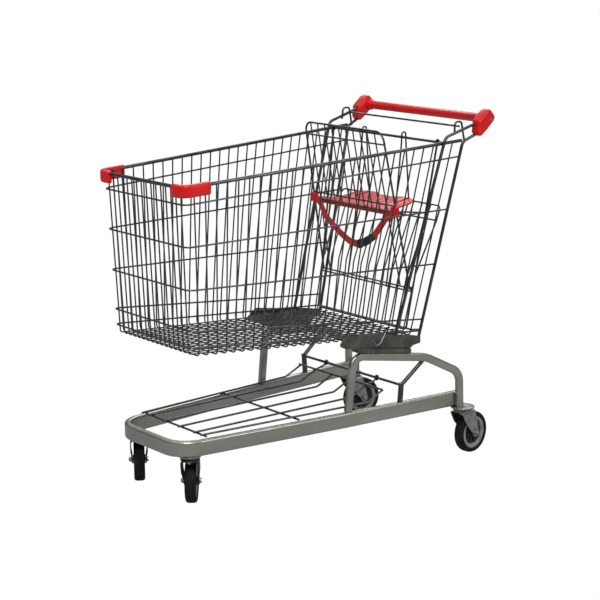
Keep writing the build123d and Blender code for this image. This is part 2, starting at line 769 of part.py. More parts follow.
def save_handle():
    arm = make_left_arm()
    x, z = HANDLE_AXIS
    tube = tube_y((x, 0, z), HANDLE_TUBE_R, HANDLE_TUBE_R - 1.5, 2 * TUBE_END_Y)
    bar = tube_y((x, 0, z), HANDLE_TUBE_R, 0, 2 * TUBE_END_Y)
    screw = make_cap_screw()
    save_pair("left_handle_arm", "right_handle_arm", arm)
    save("handle_tube", tube)
    save("handle_sleeve", tube_y((x, 0, z), HANDLE_SLEEVE_R, HANDLE_TUBE_R, 2 * CAP_Y[0]))
    save_pair("left_end_cap", "right_end_cap", largest(make_left_cap(arm, bar) - screw))
    save("end_cap_screws", screw, mirror_y(screw))
    loop = make_brace_loop()
    save("brace_rod", rod((19, 246.8, 988), (19, -246.8, 988), 6.0))
    save("brace_loops", loop, mirror_y(loop))
    x, z = GATE_ROD
    save("gate_rod", rod((x, 246.5, z), (x, -246.5, z), 2 * GATE_ROD_R))


def save_chassis():
    save("chassis_tube", make_chassis())
    plug_y = 238.4
    plug = Pos(-8 - 2, plug_y, TUBE_MID) * Box(4, TUBE_WIDE - 1, TUBE_HIGH - 1)
    plug = fillet(plug.edges().filter_by(Axis.X), 6).rotate(Axis((-8, plug_y, 0), (0, 0, 1)), -4.5).solid()
    save("chassis_plugs", plug, mirror_y(plug))
    save_pair("left_arch", "right_arch", make_left_arch())
    save_pair("left_saddle", "right_saddle", make_left_saddle())
    hook = make_saddle_hook()
    save("saddle_hooks", hook, mirror_y(hook))
    save("rack_rod", make_rack_rod())
    post = make_rack_post()
    save("rack_posts", post, mirror_y(post))


def save_gate():
    save("gate_grid", make_gate())
    save("gate_hairpins", make_hairpin(HAIRPIN_Y), make_hairpin(-HAIRPIN_Y))
    save("leg_guard", make_leg_guard())
    x, z = GATE_ROD
    eyes = [ring((x, side * GATE_EYE_Y, z), GATE_ROD_R + RUN, 5.0) for side in (1, -1)]
    save("gate_clips", *eyes, *make_gate_clips())


def save_seat():
    save("seat_back_grid", make_seat_grid())
    stay = make_seat_stay()
    save("seat_rods", make_plate_rod(), stay, mirror_y(stay))
    save("seat_plate", make_seat_plate())
    anchor = make_belt_anchor()
    save("belt_anchors", anchor, mirror_y(anchor))
    save("right_strap", make_strap(RIGHT_ROUTE, [30, 40, 80, 60]))
    save("left_strap", make_strap(LEFT_ROUTE, [30, 40]))
    save("buckle_body", make_buckle_half(RIGHT_ROUTE[-1], BUCKLE_MIDDLE, 27, 10))
    save("buckle_tongue", make_buckle_half(BUCKLE_MIDDLE, LEFT_ROUTE[-1], 25, 8))


def save_rack():
    save("rack_grid", make_rack())
    x, z = RACK_AXIS
    eyes = [ring((x, side * RACK_HOOKED[1], z), RACK_ROD_R + 2 * RUN, 5.0) for side in (1, -1)]
    save("rack_eyes", *eyes)


def save_casters():
    kings = []
    ends = (
        ("rear", REAR_PIVOT, ARCH_FOOT_Z, REAR_HOUSING_R),
        ("front", FRONT_PIVOT, TUBE_BASE, FRONT_HOUSING_R),
    )
    for name, pivot, top_z, radius in ends:
        king = make_king(pivot, top_z)
        housing = make_housing(pivot, top_z, radius, king)
        save(f"{name}_caster_housings", housing, mirror_y(housing))
        kings += [king, mirror_y(king)]
    save("king_bolts", *kings)
    save_caster("rear_left", REAR_PIVOT, REAR_SWIVEL)
    save_caster("rear_right", (REAR_PIVOT[0], -REAR_PIVOT[1]), -REAR_SWIVEL)
    save_caster("front_left", FRONT_PIVOT, FRONT_LEFT_SWIVEL)
    save_caster("front_right", (FRONT_PIVOT[0], -FRONT_PIVOT[1]), FRONT_RIGHT_SWIVEL)


def main():
    os.makedirs("parts", exist_ok=True)
    save_basket()
    save_handle()
    save_chassis()
    save_gate()
    save_seat()
    save_rack()
    save_casters()


main()
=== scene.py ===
import json
import math

import bmesh
import bpy
from mathutils import Matrix, Vector


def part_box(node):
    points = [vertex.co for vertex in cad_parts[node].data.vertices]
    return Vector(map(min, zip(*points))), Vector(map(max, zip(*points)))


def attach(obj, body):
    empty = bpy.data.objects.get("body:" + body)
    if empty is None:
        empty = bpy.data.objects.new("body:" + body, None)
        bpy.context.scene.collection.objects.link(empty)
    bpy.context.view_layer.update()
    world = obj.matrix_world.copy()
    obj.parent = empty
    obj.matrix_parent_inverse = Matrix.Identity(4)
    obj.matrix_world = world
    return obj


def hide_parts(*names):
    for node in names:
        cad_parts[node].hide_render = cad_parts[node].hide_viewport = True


# Shopping cart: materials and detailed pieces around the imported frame. The frame is in metres.
# Functions that build a piece take millimetres, which MM turns into metres.

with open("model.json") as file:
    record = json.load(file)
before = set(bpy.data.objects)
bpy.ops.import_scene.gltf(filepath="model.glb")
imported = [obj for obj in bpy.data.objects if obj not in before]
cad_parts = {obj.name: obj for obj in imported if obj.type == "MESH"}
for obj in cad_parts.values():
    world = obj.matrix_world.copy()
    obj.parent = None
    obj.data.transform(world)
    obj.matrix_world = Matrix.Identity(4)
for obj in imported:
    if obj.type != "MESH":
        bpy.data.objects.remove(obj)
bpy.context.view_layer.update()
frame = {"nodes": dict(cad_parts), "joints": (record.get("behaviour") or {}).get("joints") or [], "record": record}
NODES = frame["nodes"]
JOINTS = {joint["name"]: joint for joint in frame["joints"]}
SLOTS = {part["node"]: part["material_slot"] for part in frame["record"]["subparts"]}
MM = 0.001
CASTERS = ("rear_left", "rear_right", "front_left", "front_right")
IDENTITY = Matrix.Identity(4)
SMOOTH_ANGLE = math.radians(38)

# ---------------------------------------------------------------------------------------------
# Materials


def new_material(name, metallic=0.0, specular=0.5):
    """A Principled material; returns the material, its tree and its shader."""
    material = bpy.data.materials.new(name)
    material.use_nodes = True
    tree = material.node_tree
    shader = tree.nodes["Principled BSDF"]
    shader.inputs["Metallic"].default_value = metallic
    shader.inputs["Specular IOR Level"].default_value = specular
    return material, tree, shader


def noise(tree, scale, detail=3.0, stretch=(1, 1, 1), rough=0.5):
    """Noise in object space; scale is in cycles for each metre."""
    coordinates = tree.nodes.new("ShaderNodeTexCoord")
    mapping = tree.nodes.new("ShaderNodeMapping")
    mapping.inputs["Scale"].default_value = stretch
    texture = tree.nodes.new("ShaderNodeTexNoise")
    texture.inputs["Scale"].default_value = scale
    texture.inputs["Detail"].default_value = detail
    texture.inputs["Roughness"].default_value = rough
    tree.links.new(coordinates.outputs["Object"], mapping.inputs["Vector"])
    tree.links.new(mapping.outputs["Vector"], texture.inputs["Vector"])
    return texture.outputs["Fac"]


def spread(tree, source, low, high, start=0.35, stop=0.65):
    """Maps start..stop of a noise to low..high."""
    node = tree.nodes.new("ShaderNodeMapRange")
    node.inputs["From Min"].default_value = start
    node.inputs["From Max"].default_value = stop
    node.inputs["To Min"].default_value = low
    node.inputs["To Max"].default_value = high
    tree.links.new(source, node.inputs["Value"])
    return node.outputs["Result"]


def blend_colours(tree, factor, first, second):
    node = tree.nodes.new("ShaderNodeMix")
    node.data_type = "RGBA"
    node.inputs["A"].default_value = (*first, 1)
    node.inputs["B"].default_value = (*second, 1)
    tree.links.new(factor, node.inputs["Factor"])
    return node.outputs["Result"]


def add_bump(tree, shader, height, depth_mm, strength=1.0):
    node = tree.nodes.new("ShaderNodeBump")
    node.inputs["Distance"].default_value = depth_mm * MM
    node.inputs["Strength"].default_value = strength
    tree.links.new(height, node.inputs["Height"])
    tree.links.new(node.outputs["Normal"], shader.inputs["Normal"])


def surface(name, colours, rough, metallic, grain, patches, depth, stretch=(1, 1, 1), specular=0.5):
    """A finish whose colour and roughness drift in patches, with a fine grain in its relief."""
    material, tree, shader = new_material(name, metallic, specular)
    drift = noise(tree, patches, 4.0, stretch)
    fine = noise(tree, grain, 3.0, stretch)
    colour = blend_colours(tree, spread(tree, drift, 0.0, 1.0), *colours)
    tree.links.new(colour, shader.inputs["Base Color"])
    tree.links.new(spread(tree, fine, *rough), shader.inputs["Roughness"])
    add_bump(tree, shader, fine, depth)
    return material


def webbing(name):
    """Woven belt: ribs across the width and yarns along it, from the strap's own UV in millimetres. Its red is
    painted shade and highlight: darker in the weave's low spots, brighter on its raised spots.
    """
    material, tree, shader = new_material(name, specular=0.25)
    coordinates = tree.nodes.new("ShaderNodeUVMap")
    split = tree.nodes.new("ShaderNodeSeparateXYZ")
    tree.links.new(coordinates.outputs["UV"], split.inputs["Vector"])

    def wave(source, pitch_mm, phase):
        scaled = tree.nodes.new("ShaderNodeMath")
        scaled.operation = "MULTIPLY_ADD"
        scaled.inputs[1].default_value = 2 * math.pi / pitch_mm
        scaled.inputs[2].default_value = phase
        tree.links.new(source, scaled.inputs[0])
        sine = tree.nodes.new("ShaderNodeMath")
        sine.operation = "SINE"
        tree.links.new(scaled.outputs[0], sine.inputs[0])
        return sine.outputs[0]

    product = tree.nodes.new("ShaderNodeMath")
    product.operation = "MULTIPLY"
    tree.links.new(wave(split.outputs["X"], 2.2, 0.0), product.inputs[0])
    tree.links.new(wave(split.outputs["Y"], 1.6, 0.6), product.inputs[1])
    weave = spread(tree, product.outputs[0], 0.0, 1.0, -1.0, 1.0)
    # Painted shade and highlight: the colour follows the weave's relief, dark red in its low spots and bright red
    # on its raised spots.
    colour = blend_colours(tree, weave, (0.42, 0.004, 0.006), (0.80, 0.010, 0.014))
    tree.links.new(colour, shader.inputs["Base Color"])
    shader.inputs["Roughness"].default_value = 0.72
    shader.inputs["Sheen Weight"].default_value = 0.25
    add_bump(tree, shader, weave, 0.35)
    return material


def make_materials():
    plate = {
        "chrome_wire": surface(
            "chrome_wire", ((0.088, 0.090, 0.093), (0.155, 0.155, 0.158)), (0.2, 0.34), 1.0, 900, 26, 0.04
        ),
        "steel_tube": surface(
            "steel_tube", ((0.36, 0.35, 0.318), (0.47, 0.455, 0.42)), (0.22, 0.36), 1.0,
            90, 9, 0.008, (0.25, 1, 1)
        ),
        "saddle_steel": surface(
            "saddle_steel", ((0.10, 0.10, 0.093), (0.20, 0.198, 0.168)), (0.34, 0.5), 1.0, 500, 22, 0.05
        ),
        "zinc_steel": surface(
            "zinc_steel", ((0.26, 0.275, 0.265), (0.40, 0.41, 0.40)), (0.3, 0.46), 1.0, 700, 60, 0.05
        ),
        "dark_steel": surface(
            "dark_steel", ((0.014, 0.014, 0.015), (0.035, 0.035, 0.036)), (0.3, 0.48), 0.4, 700, 60, 0.05
        ),
        "bolt_steel": surface(
            "bolt_steel", ((0.30, 0.30, 0.30), (0.46, 0.46, 0.45)), (0.25, 0.4), 1.0, 900, 90, 0.03
        ),
        "red_plastic": surface(
            "red_plastic", ((0.68, 0.002, 0.003), (0.82, 0.006, 0.006)), (0.26, 0.38), 0.0, 1500, 18, 0.03
        ),
        "black_plastic": surface(
            "black_plastic", ((0.012, 0.012, 0.012), (0.03, 0.03, 0.03)), (0.42, 0.6), 0.0, 1600, 40, 0.05
        ),
        "tyre": surface(
            "tyre", ((0.004, 0.004, 0.004), (0.014, 0.014, 0.012)), (0.55, 0.8), 0.0,
            1100, 45, 0.12, (1, 1, 1), 0.2
        ),
        "hub_grey": surface(
            "hub_grey", ((0.20, 0.20, 0.195), (0.33, 0.33, 0.32)), (0.4, 0.6), 0.0, 1200, 50, 0.05
        ),
        "red_belt": webbing("red_belt"),
    }
    return plate


MATERIALS = make_materials()


def dress_frame_nodes():
    """Every piece of the frame gets its slot's finish."""
    for name, node in NODES.items():
        node.data.materials.clear()
        node.data.materials.append(MATERIALS[SLOTS[name]])


# ---------------------------------------------------------------------------------------------
# Mesh building


def rounded(outline, radius, steps=5):
    """A closed 2D outline with every corner turned into an arc; radius is one number or a list."""
    radii = radius if isinstance(radius, (list, tuple)) else [radius] * len(outline)
    result = []
    for i, (corner, r) in enumerate(zip(outline, radii)):
        corner = Vector(corner)
        back = Vector(outline[i - 1]) - corner
        ahead = Vector(outline[(i + 1) % len(outline)]) - corner
        half = back.angle(ahead) / 2
        reach = min(r / math.tan(half), 0.48 * min(back.length, ahead.length))
        if reach < 1e-6:
            result.append(tuple(corner))
            continue
        start, stop = corner + back.normalized() * reach, corner + ahead.normalized() * reach
        middle = (back.normalized() + ahead.normalized()).normalized()
        centre = corner + middle * reach / math.cos(half)
        first = math.atan2(start.y - centre.y, start.x - centre.x)
        sweep = math.atan2(stop.y - centre.y, stop.x - centre.x) - first
        sweep = (sweep + math.pi) % (2 * math.pi) - math.pi
        size = (start - centre).length
        for k in range(steps + 1):
            turn = first + sweep * k / steps
            result.append((centre.x + size * math.cos(turn), centre.y + size * math.sin(turn)))
    return result


def finish_mesh(name, points, faces, place, merge=True):
    """A mesh from millimetre points, put in place, with consistent normals and soft shading."""
    bm = bmesh.new()
    verts = [bm.verts.new(place @ (Vector(p) * MM)) for p in points]
    for face in faces:
        bm.faces.new([verts[i] for i in face])
    if merge:
        bmesh.ops.remove_doubles(bm, verts=bm.verts, dist=1e-6)
        bmesh.ops.dissolve_degenerate(bm, edges=bm.edges, dist=1e-7)
    bmesh.ops.recalc_face_normals(bm, faces=bm.faces)
    mesh = bpy.data.meshes.new(name)
    bm.to_mesh(mesh)
    bm.free()
    soften(mesh)
    return mesh


def soften(mesh, angle=SMOOTH_ANGLE):
    mesh.shade_smooth()
    mesh.set_sharp_from_angle(angle=angle)


def lathe(name, profile, place, steps=64):
    """A turned piece: a closed loop of (radius, height) points about place's Z axis."""
    points, faces, count = [], [], len(profile)
    for k in range(steps):
        turn = 2 * math.pi * k / steps
        points += [(r * math.cos(turn), r * math.sin(turn), h) for r, h in profile]
    for k in range(steps):
        here, there = k * count, (k + 1) % steps * count
        for i in range(count):
            j = (i + 1) % count
            faces.append((here + i, here + j, there + j, there + i))
    return finish_mesh(name, points, faces, place)


def loft(name, sections, place=IDENTITY):
    """A skin over closed sections with equally many points, closed at both ends."""
    count = len(sections[0])
    points = [p for section in sections for p in section]
    faces = []
    for k in range(len(sections) - 1):
        here, there = k * count, (k + 1) * count
        for i in range(count):
            j = (i + 1) % count
            faces.append((here + i, here + j, there + j, there + i))
    faces.append(tuple(reversed(range(count))))
    faces.append(tuple(range(len(points) - count, len(points))))
    return finish_mesh(name, points, faces, place)


def slab(name, outlines, thick, edge, place, steps=3):
    """A flat piece with rounded edges: closed 2D loops in millimetres, the first outside, then holes."""
    curve = bpy.data.curves.new(name, "CURVE")
    curve.dimensions = "2D"
    curve.fill_mode = "BOTH"
    curve.extrude = (thick / 2 - edge) * MM
    curve.bevel_depth = edge * MM
    curve.bevel_resolution = steps
    curve.offset = -edge * MM
    for outline in outlines:
        spline = curve.splines.new("POLY")
        spline.points.add(len(outline) - 1)
        for point, (x, y) in zip(spline.points, outline):
            point.co = (x * MM, y * MM, 0, 1)
        spline.use_cyclic_u = True
    carrier = bpy.data.objects.new(name, curve)
    mesh = bpy.data.meshes.new_from_object(carrier)
    bpy.data.objects.remove(carrier)
    bpy.data.curves.remove(curve)
    mesh.transform(place)
    clean(mesh)
    return mesh


def clean(mesh):
    bm = bmesh.new()
    bm.from_mesh(mesh)
    bmesh.ops.remove_doubles(bm, verts=bm.verts, dist=2e-6)
    bmesh.ops.dissolve_degenerate(bm, edges=bm.edges, dist=1e-7)
    bmesh.ops.recalc_face_normals(bm, faces=bm.faces)
    bm.to_mesh(mesh)
    bm.free()
    soften(mesh)


def mirrored(mesh, name):
    """The same mesh on the cart's other side."""
    copy = mesh.copy()
    copy.name = name
    copy.transform(Matrix.Diagonal((1, -1, 1, 1)))
    copy.flip_normals()
    soften(copy)
    return copy


def joined(name, meshes):
    """Several meshes as one."""
    bm = bmesh.new()
    for mesh in meshes:
        bm.from_mesh(mesh)
    mesh = bpy.data.meshes.new(name)
    bm.to_mesh(mesh)
    bm.free()
    soften(mesh)
    return mesh


def add_piece(name, mesh, body, slot, *replaced):
    """Puts a mesh in the scene, on a body, in place of CAD nodes."""
    piece = bpy.data.objects.new(name, mesh)
    bpy.context.scene.collection.objects.link(piece)
    mesh.materials.clear()
    mesh.materials.append(MATERIALS[slot])
    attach(piece, body)
    if replaced:
        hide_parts(*replaced)
    return piece


def axis_place(origin, axis):
    """A place whose Z runs along axis; origin in metres."""
    z = Vector(axis).normalized()
    side = Vector((0, 0, 1)) if abs(z.z) < 0.9 else Vector((1, 0, 0))
    x = side.cross(z).normalized()
    y = z.cross(x)
    place = Matrix((x, y, z)).transposed().to_4x4()
    place.translation = Vector(origin)
    return place


def millimetres(point):
    return Vector(point) / MM


# ---------------------------------------------------------------------------------------------
# Handle

SLEEVE_LOW, SLEEVE_HIGH = (millimetres(corner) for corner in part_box("handle_sleeve"))
SLEEVE_R = (SLEEVE_HIGH.z - SLEEVE_LOW.z) / 2
HANDLE_X = (SLEEVE_LOW.x + SLEEVE_HIGH.x) / 2
HANDLE_Z = (SLEEVE_LOW.z + SLEEVE_HIGH.z) / 2
CAP_LOW, CAP_HIGH = (millimetres(corner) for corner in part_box("left_end_cap"))
# The cap's side view about the handle's axis
CAP_SHAPE = ((6, 33), (-22, 4), (14, -30), (42, -49), (52, -36), (49, -1), (24, 20))
CAP_CORNERS = (12, 14, 14, 9, 8, 9, 14)


def make_sleeve():
    """The grip: a thick-walled tube with a raised ring at each end."""
    half, r, bore = SLEEVE_HIGH.y, SLEEVE_R, SLEEVE_R - 3
    ring, ring_r = 9, r + 0.9
    profile = [
        (bore, -half), (ring_r - 0.6, -half), (ring_r, -half + 0.6), (ring_r, -half + ring),
        (r, -half + ring + 1.5), (r, half - ring - 1.5),
        (ring_r, half - ring), (ring_r, half - 0.6), (ring_r - 0.6, half), (bore, half),
    ]
    place = axis_place((HANDLE_X * MM, 0, HANDLE_Z * MM), (0, 1, 0))
    sleeve = lathe("grip_sleeve", profile, place, 48)
    add_piece("grip_sleeve", sleeve, "root", "red_plastic", "handle_sleeve")


def cap_section(y, grow):
    """The cap's outline at one width station, grown or shrunk about its middle."""
    outline = rounded(CAP_SHAPE, CAP_CORNERS, 6)
    middle_x = sum(x for x, _ in outline) / len(outline)
    middle_z = sum(z for _, z in outline) / len(outline)
    section = []
    for x, z in outline:
        out = Vector((x - middle_x, z - middle_z))
        out = out * (1 + grow / out.length)
        section.append((HANDLE_X + middle_x + out.x, y, HANDLE_Z + middle_z + out.y))
    return section


def make_caps():
    """Moulded end caps: crowned outer face, soft rim, a parting groove and a collar for the grip."""
    low, high = CAP_LOW.y, CAP_HIGH.y
    split = (low + high) / 2
    stations = [
        (low, -4.0), (low + 0.8, -2.0), (low + 2.5, -0.6), (low + 5, 0),
        (split - 0.9, 0), (split - 0.4, -0.6),
        (split + 0.4, -0.6), (split + 0.9, 0), (high - 7, 0), (high - 4, -0.8), (high - 2, -2.2),
        (high - 0.7, -4.4), (high - 0.1, -7.5), (high, -11),
    ]
    body = loft("cap", [cap_section(y, grow) for y, grow in stations])
    r = SLEEVE_R
    collar_profile = [(r + 0.2, -9), (r + 2.6, -8), (r + 3.6, -5), (r + 4.4, 2), (r + 0.2, 2)]
    collar_place = axis_place((HANDLE_X * MM, low * MM, HANDLE_Z * MM), (0, 1, 0))
    cap = joined("left_cap", [body, lathe("collar", collar_profile, collar_place, 40)])
    add_piece("left_cap", cap, "root", "red_plastic", "left_end_cap")
    add_piece("right_cap", mirrored(cap, "right_cap"), "root", "red_plastic", "right_end_cap")


def make_cap_screws():
    """A pan head with a cross recess on each cap."""
    head_r, high = 5.2, 2.6
    arm, half_slot = 3.2, 0.7
    turns = [2 * math.pi * k / 32 for k in range(32)]
    outline = [(head_r * math.cos(t), head_r * math.sin(t)) for t in turns]
    cross = [
        (half_slot, half_slot), (half_slot, arm), (-half_slot, arm), (-half_slot, half_slot),
        (-arm, half_slot), (-arm, -half_slot), (-half_slot, -half_slot),
        (-half_slot, -arm), (half_slot, -arm), (half_slot, -half_slot),
        (arm, -half_slot), (arm, half_slot),
    ]
    place = axis_place((HANDLE_X * MM, (CAP_HIGH.y + 0.4) * MM, HANDLE_Z * MM), (0, 1, 0))
    head = slab("screw_head", [outline, cross], high, 0.9, place)
    floor_place = axis_place((HANDLE_X * MM, (CAP_HIGH.y - 0.6) * MM, HANDLE_Z * MM), (0, 1, 0))
    floor_profile = [(0, -1.2), (head_r - 0.6, -1.2), (head_r - 0.6, 0), (0, 0)]
    floor = lathe("screw_floor", floor_profile, floor_place, 24)
    left = joined("left_cap_screw", [head, floor])
    add_piece("left_cap_screw", left, "root", "bolt_steel", "end_cap_screws")
    add_piece("right_cap_screw", mirrored(left, "right_cap_screw"), "root", "bolt_steel")


# ---------------------------------------------------------------------------------------------
# Corner bumpers

BUMPER_LOW, BUMPER_HIGH = (millimetres(corner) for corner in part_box("left_bumper"))
BUMPER_THICK = 16.0
BUMPER_TALL = 35.0
BUMPER_SLOPE = -0.0544
BUMPER_CORNER_R = 31.0
# The rim's half width falls by this much over this length
RIM_NARROWS, RIM_RUN = 57.0, 937.0


def bumper_path():
    """Middle line in plan, as (x, y, outward direction) from the rear end round to the nose end."""
    half = BUMPER_THICK / 2
    nose_x, side_y = BUMPER_HIGH.x - half, BUMPER_HIGH.y - half - 5.3
    splay = math.atan(RIM_NARROWS / RIM_RUN)
    rear = (BUMPER_LOW.x + 2, side_y + (nose_x - BUMPER_LOW.x) * math.tan(splay))
    corner, end = (nose_x, side_y), (nose_x, BUMPER_LOW.y)
    outline = rounded([rear, corner, end], [0, BUMPER_CORNER_R, 0], 12)
    path = []
    for i, (x, y) in enumerate(outline):
        before, after = outline[max(i - 1, 0)], outline[min(i + 1, len(outline) - 1)]
        along = Vector((after[0] - before[0], after[1] - before[1])).normalized()
        path.append((x, y, Vector((-along.y, along.x))))
    return path


def bumper_section(x, y, out, z, shrink):
    """Rounded block section; shrink rounds the block's ends."""
    half, tall = BUMPER_THICK / 2 - shrink, BUMPER_TALL / 2 - shrink
    block = [(-half, -tall), (half - 1.5, -tall), (half, 0), (half - 1.0, tall), (-half, tall)]
    section = rounded(block, [3, 7, 30, 6, 3], 5)
    return [(x + out.x * a, y + out.y * a, z + b) for a, b in section]


def make_bumpers():
    path = bumper_path()
    middle_z = BUMPER_LOW.z + BUMPER_TALL / 2 + 0.6
    start, stop = path[0], path[-1]
    ends = ((0.0, 5.0), (0.8, 2.6), (2.4, 0.8), (5.0, 0.0))

    def step(point, toward, distance):
        along = (Vector(toward[:2]) - Vector(point[:2])).normalized() * distance
        return (point[0] + along.x, point[1] + along.y, point[2])

    stations = [(step(start, path[1], d), shrink) for d, shrink in ends]
    stations += [(point, 0.0) for point in path[1:-1]]
    stations += [(step(stop, path[-2], d), shrink) for d, shrink in reversed(ends)]
    sections = []
    for (x, y, out), shrink in stations:
        z = middle_z + (x - BUMPER_HIGH.x) * BUMPER_SLOPE
        sections.append(bumper_section(x, y, out, z, shrink))
    mesh = loft("left_corner_guard", sections)
    add_piece("left_corner_guard", mesh, "root", "red_plastic", "left_bumper")
    right = mirrored(mesh, "right_corner_guard")
    add_piece("right_corner_guard", right, "root", "red_plastic", "right_bumper")


# ---------------------------------------------------------------------------------------------
# Casters

TYRE_PROFILE = (
    (48, -12.6), (51, -14.6), (56, -16), (60, -14), (62.5, -8), (62.5, 8), (60, 14), (56, 16), (51, 14.6),
    (48, 12.6),
)
RING_PROFILE = ((37, -9), (39, -12.6), (48.6, -12.6), (48.6, 12.6), (39, 12.6), (37, 9))
CORE_PROFILE = (
    (4.1, -18.3), (12, -18.3), (13.5, -16.5), (14, -7), (22, -4),
    (33, -4), (38, -8), (38, 8), (33, 4), (22, 4),
    (14, 7), (13.5, 16.5), (12, 18.3), (4.1, 18.3),
)
CORE_RIBS = 10
FORK_CROWN_Z = (131.0, 136.0)
FORK_THICK = 3.2
FORK_INSIDE = 18.6
CROWN_HALF = 25.0
RACE_Z = 143.0


def caster_place(name):
    """Origin on the floor under the swivel axis, X ahead of the trail, Y along the axle, Z up."""
    swivel, roll = JOINTS[f"{name}_swivel"], JOINTS[f"{name}_roll"]
    axle = Vector(roll["axis"]).normalized()
    ahead = axle.cross(Vector((0, 0, 1)))
    place = Matrix((ahead, axle, Vector((0, 0, 1)))).transposed().to_4x4()
    place.translation = Vector((swivel["pos_m"][0], swivel["pos_m"][1], 0))
    return place


def wheel_place(name):
    roll = JOINTS[f"{name}_roll"]
    return axis_place(roll["pos_m"], roll["axis"])


def make_wheel(name):
    place, body = wheel_place(name), f"{name}_wheel"
    tyre = lathe("tyre", rounded(TYRE_PROFILE, [1, 2, 3, 4, 7, 7, 4, 3, 2, 1], 3), place, 96)
    add_piece(f"{name}_rubber", tyre, body, "tyre", f"{name}_tyre")
    ring = lathe("ring", rounded(RING_PROFILE, [2, 2, 0.4, 0.4, 2, 2], 3), place, 96)
    add_piece(f"{name}_rim_ring", ring, body, "hub_grey", f"{name}_hub")
    core = lathe("core", rounded(CORE_PROFILE, 1.2, 2), place, 72)
    ribs = [core]
    for k in range(CORE_RIBS):
        turn = place @ Matrix.Rotation(2 * math.pi * k / CORE_RIBS, 4, "Z")
        for side in (-1, 1):
            rib = [(13, -1.1), (37.6, -0.9), (37.6, 0.9), (13, 1.1)]
            ribs.append(slab("rib", [rib], 4.4, 0.4, turn @ Matrix.Translation((0, 0, side * 6.2 * MM)), 1))
    add_piece(f"{name}_hub_core", joined("core", ribs), body, "black_plastic")


def fork_sheet(name):
    """The pressed fork: a U of sheet steel whose legs run back and down to the axle."""
    roll, swivel = JOINTS[f"{name}_roll"]["pos_m"], JOINTS[f"{name}_swivel"]["pos_m"]
    trail = math.dist(roll[:2], swivel[:2]) / MM
    axle_z = roll[2] / MM
    boss, inner, top_half, top = 12.5, FORK_INSIDE, CROWN_HALF - FORK_THICK / 2, FORK_CROWN_Z[1]
    bend = 7.0
    across = []
    foot = axle_z - boss
    for k in range(9):
        across.append((inner + FORK_THICK / 2, foot + boss * (1 - math.cos(math.pi / 2 * k / 8))))
    across += [(inner + FORK_THICK / 2, axle_z + 12), (inner + FORK_THICK / 2 + 1.5, axle_z + 24)]
    across += [(top_half, 100.0), (top_half, top - bend)]
    for k in range(1, 6):
        turn = math.pi / 2 * k / 5
        across.append((top_half - bend * (1 - math.cos(turn)), top - bend + bend * math.sin(turn)))
    profile = [(-y, z) for y, z in across] + [(y, z) for y, z in reversed(across)]

    def edges(z):
        """Front and rear edge of the leg at a height."""
        if z <= axle_z:
            reach = math.sqrt(max(boss**2 - (axle_z - z) ** 2, 0.0))
            return -trail + reach, -trail - reach
        share = min((z - axle_z) / (118.0 - axle_z), 1.0)
        front = -trail + boss + (25.5 + trail - boss) * share**0.9
        rear = -trail - boss + (trail + boss - 31.5) * share**1.4
        return front, rear

    columns = 9
    points, faces = [], []
    for y, z in profile:
        front, rear = edges(z)
        points += [(rear + (front - rear) * k / (columns - 1), y, z) for k in range(columns)]
    for i in range(len(profile) - 1):
        for k in range(columns - 1):
            a = i * columns + k
            faces.append((a, a + 1, a + columns + 1, a + columns))
    return points, faces


def thickened(name, points, faces, thick, place, edge=0.5):
    """A sheet given thickness and softened edges."""
    mesh = finish_mesh(name, points, faces, place)
    carrier = bpy.data.objects.new(name, mesh)
    bpy.context.scene.collection.objects.link(carrier)
    solid = carrier.modifiers.new("solid", "SOLIDIFY")
    solid.thickness = thick * MM
    solid.offset = 0
    solid.use_even_offset = True
    bevel = carrier.modifiers.new("bevel", "BEVEL")
    bevel.width = edge * MM
    bevel.segments = 2
    bevel.limit_method = "ANGLE"
    bevel.angle_limit = math.radians(50)
    graph = bpy.context.evaluated_depsgraph_get()
    result = bpy.data.meshes.new_from_object(carrier.evaluated_get(graph))
    bpy.data.objects.remove(carrier)
    clean(result)
    return result


def make_fork(name):
    """Fork, raised race cover and the bearing's lower cup."""
    place = caster_place(name)
    slot = SLOTS[f"{name}_fork"]
    points, faces = fork_sheet(name)
    sheet = thickened("fork", points, faces, FORK_THICK, place)
    top = FORK_CROWN_Z[1]
    rim = 27.0
    cup = [
        (7, top - 0.6), (rim, top - 0.6), (rim, top + 1.2), (rim - 2.5, top + 4.2), (rim - 4, RACE_Z - 0.3),
        (7, RACE_Z - 0.3),
    ]
    race = lathe("race", rounded(cup, [0.4, 0.6, 1, 2, 2, 0.4], 3), place, 56)
    add_piece(f"{name}_yoke", joined("yoke", [sheet, race]), f"{name}_caster", slot, f"{name}_fork")


def hexagon(across_flats, turn=0.0):
    r = across_flats / 2 / math.cos(math.pi / 6)
    return [(r * math.cos(turn + math.pi / 3 * k), r * math.sin(turn + math.pi / 3 * k)) for k in range(6)]


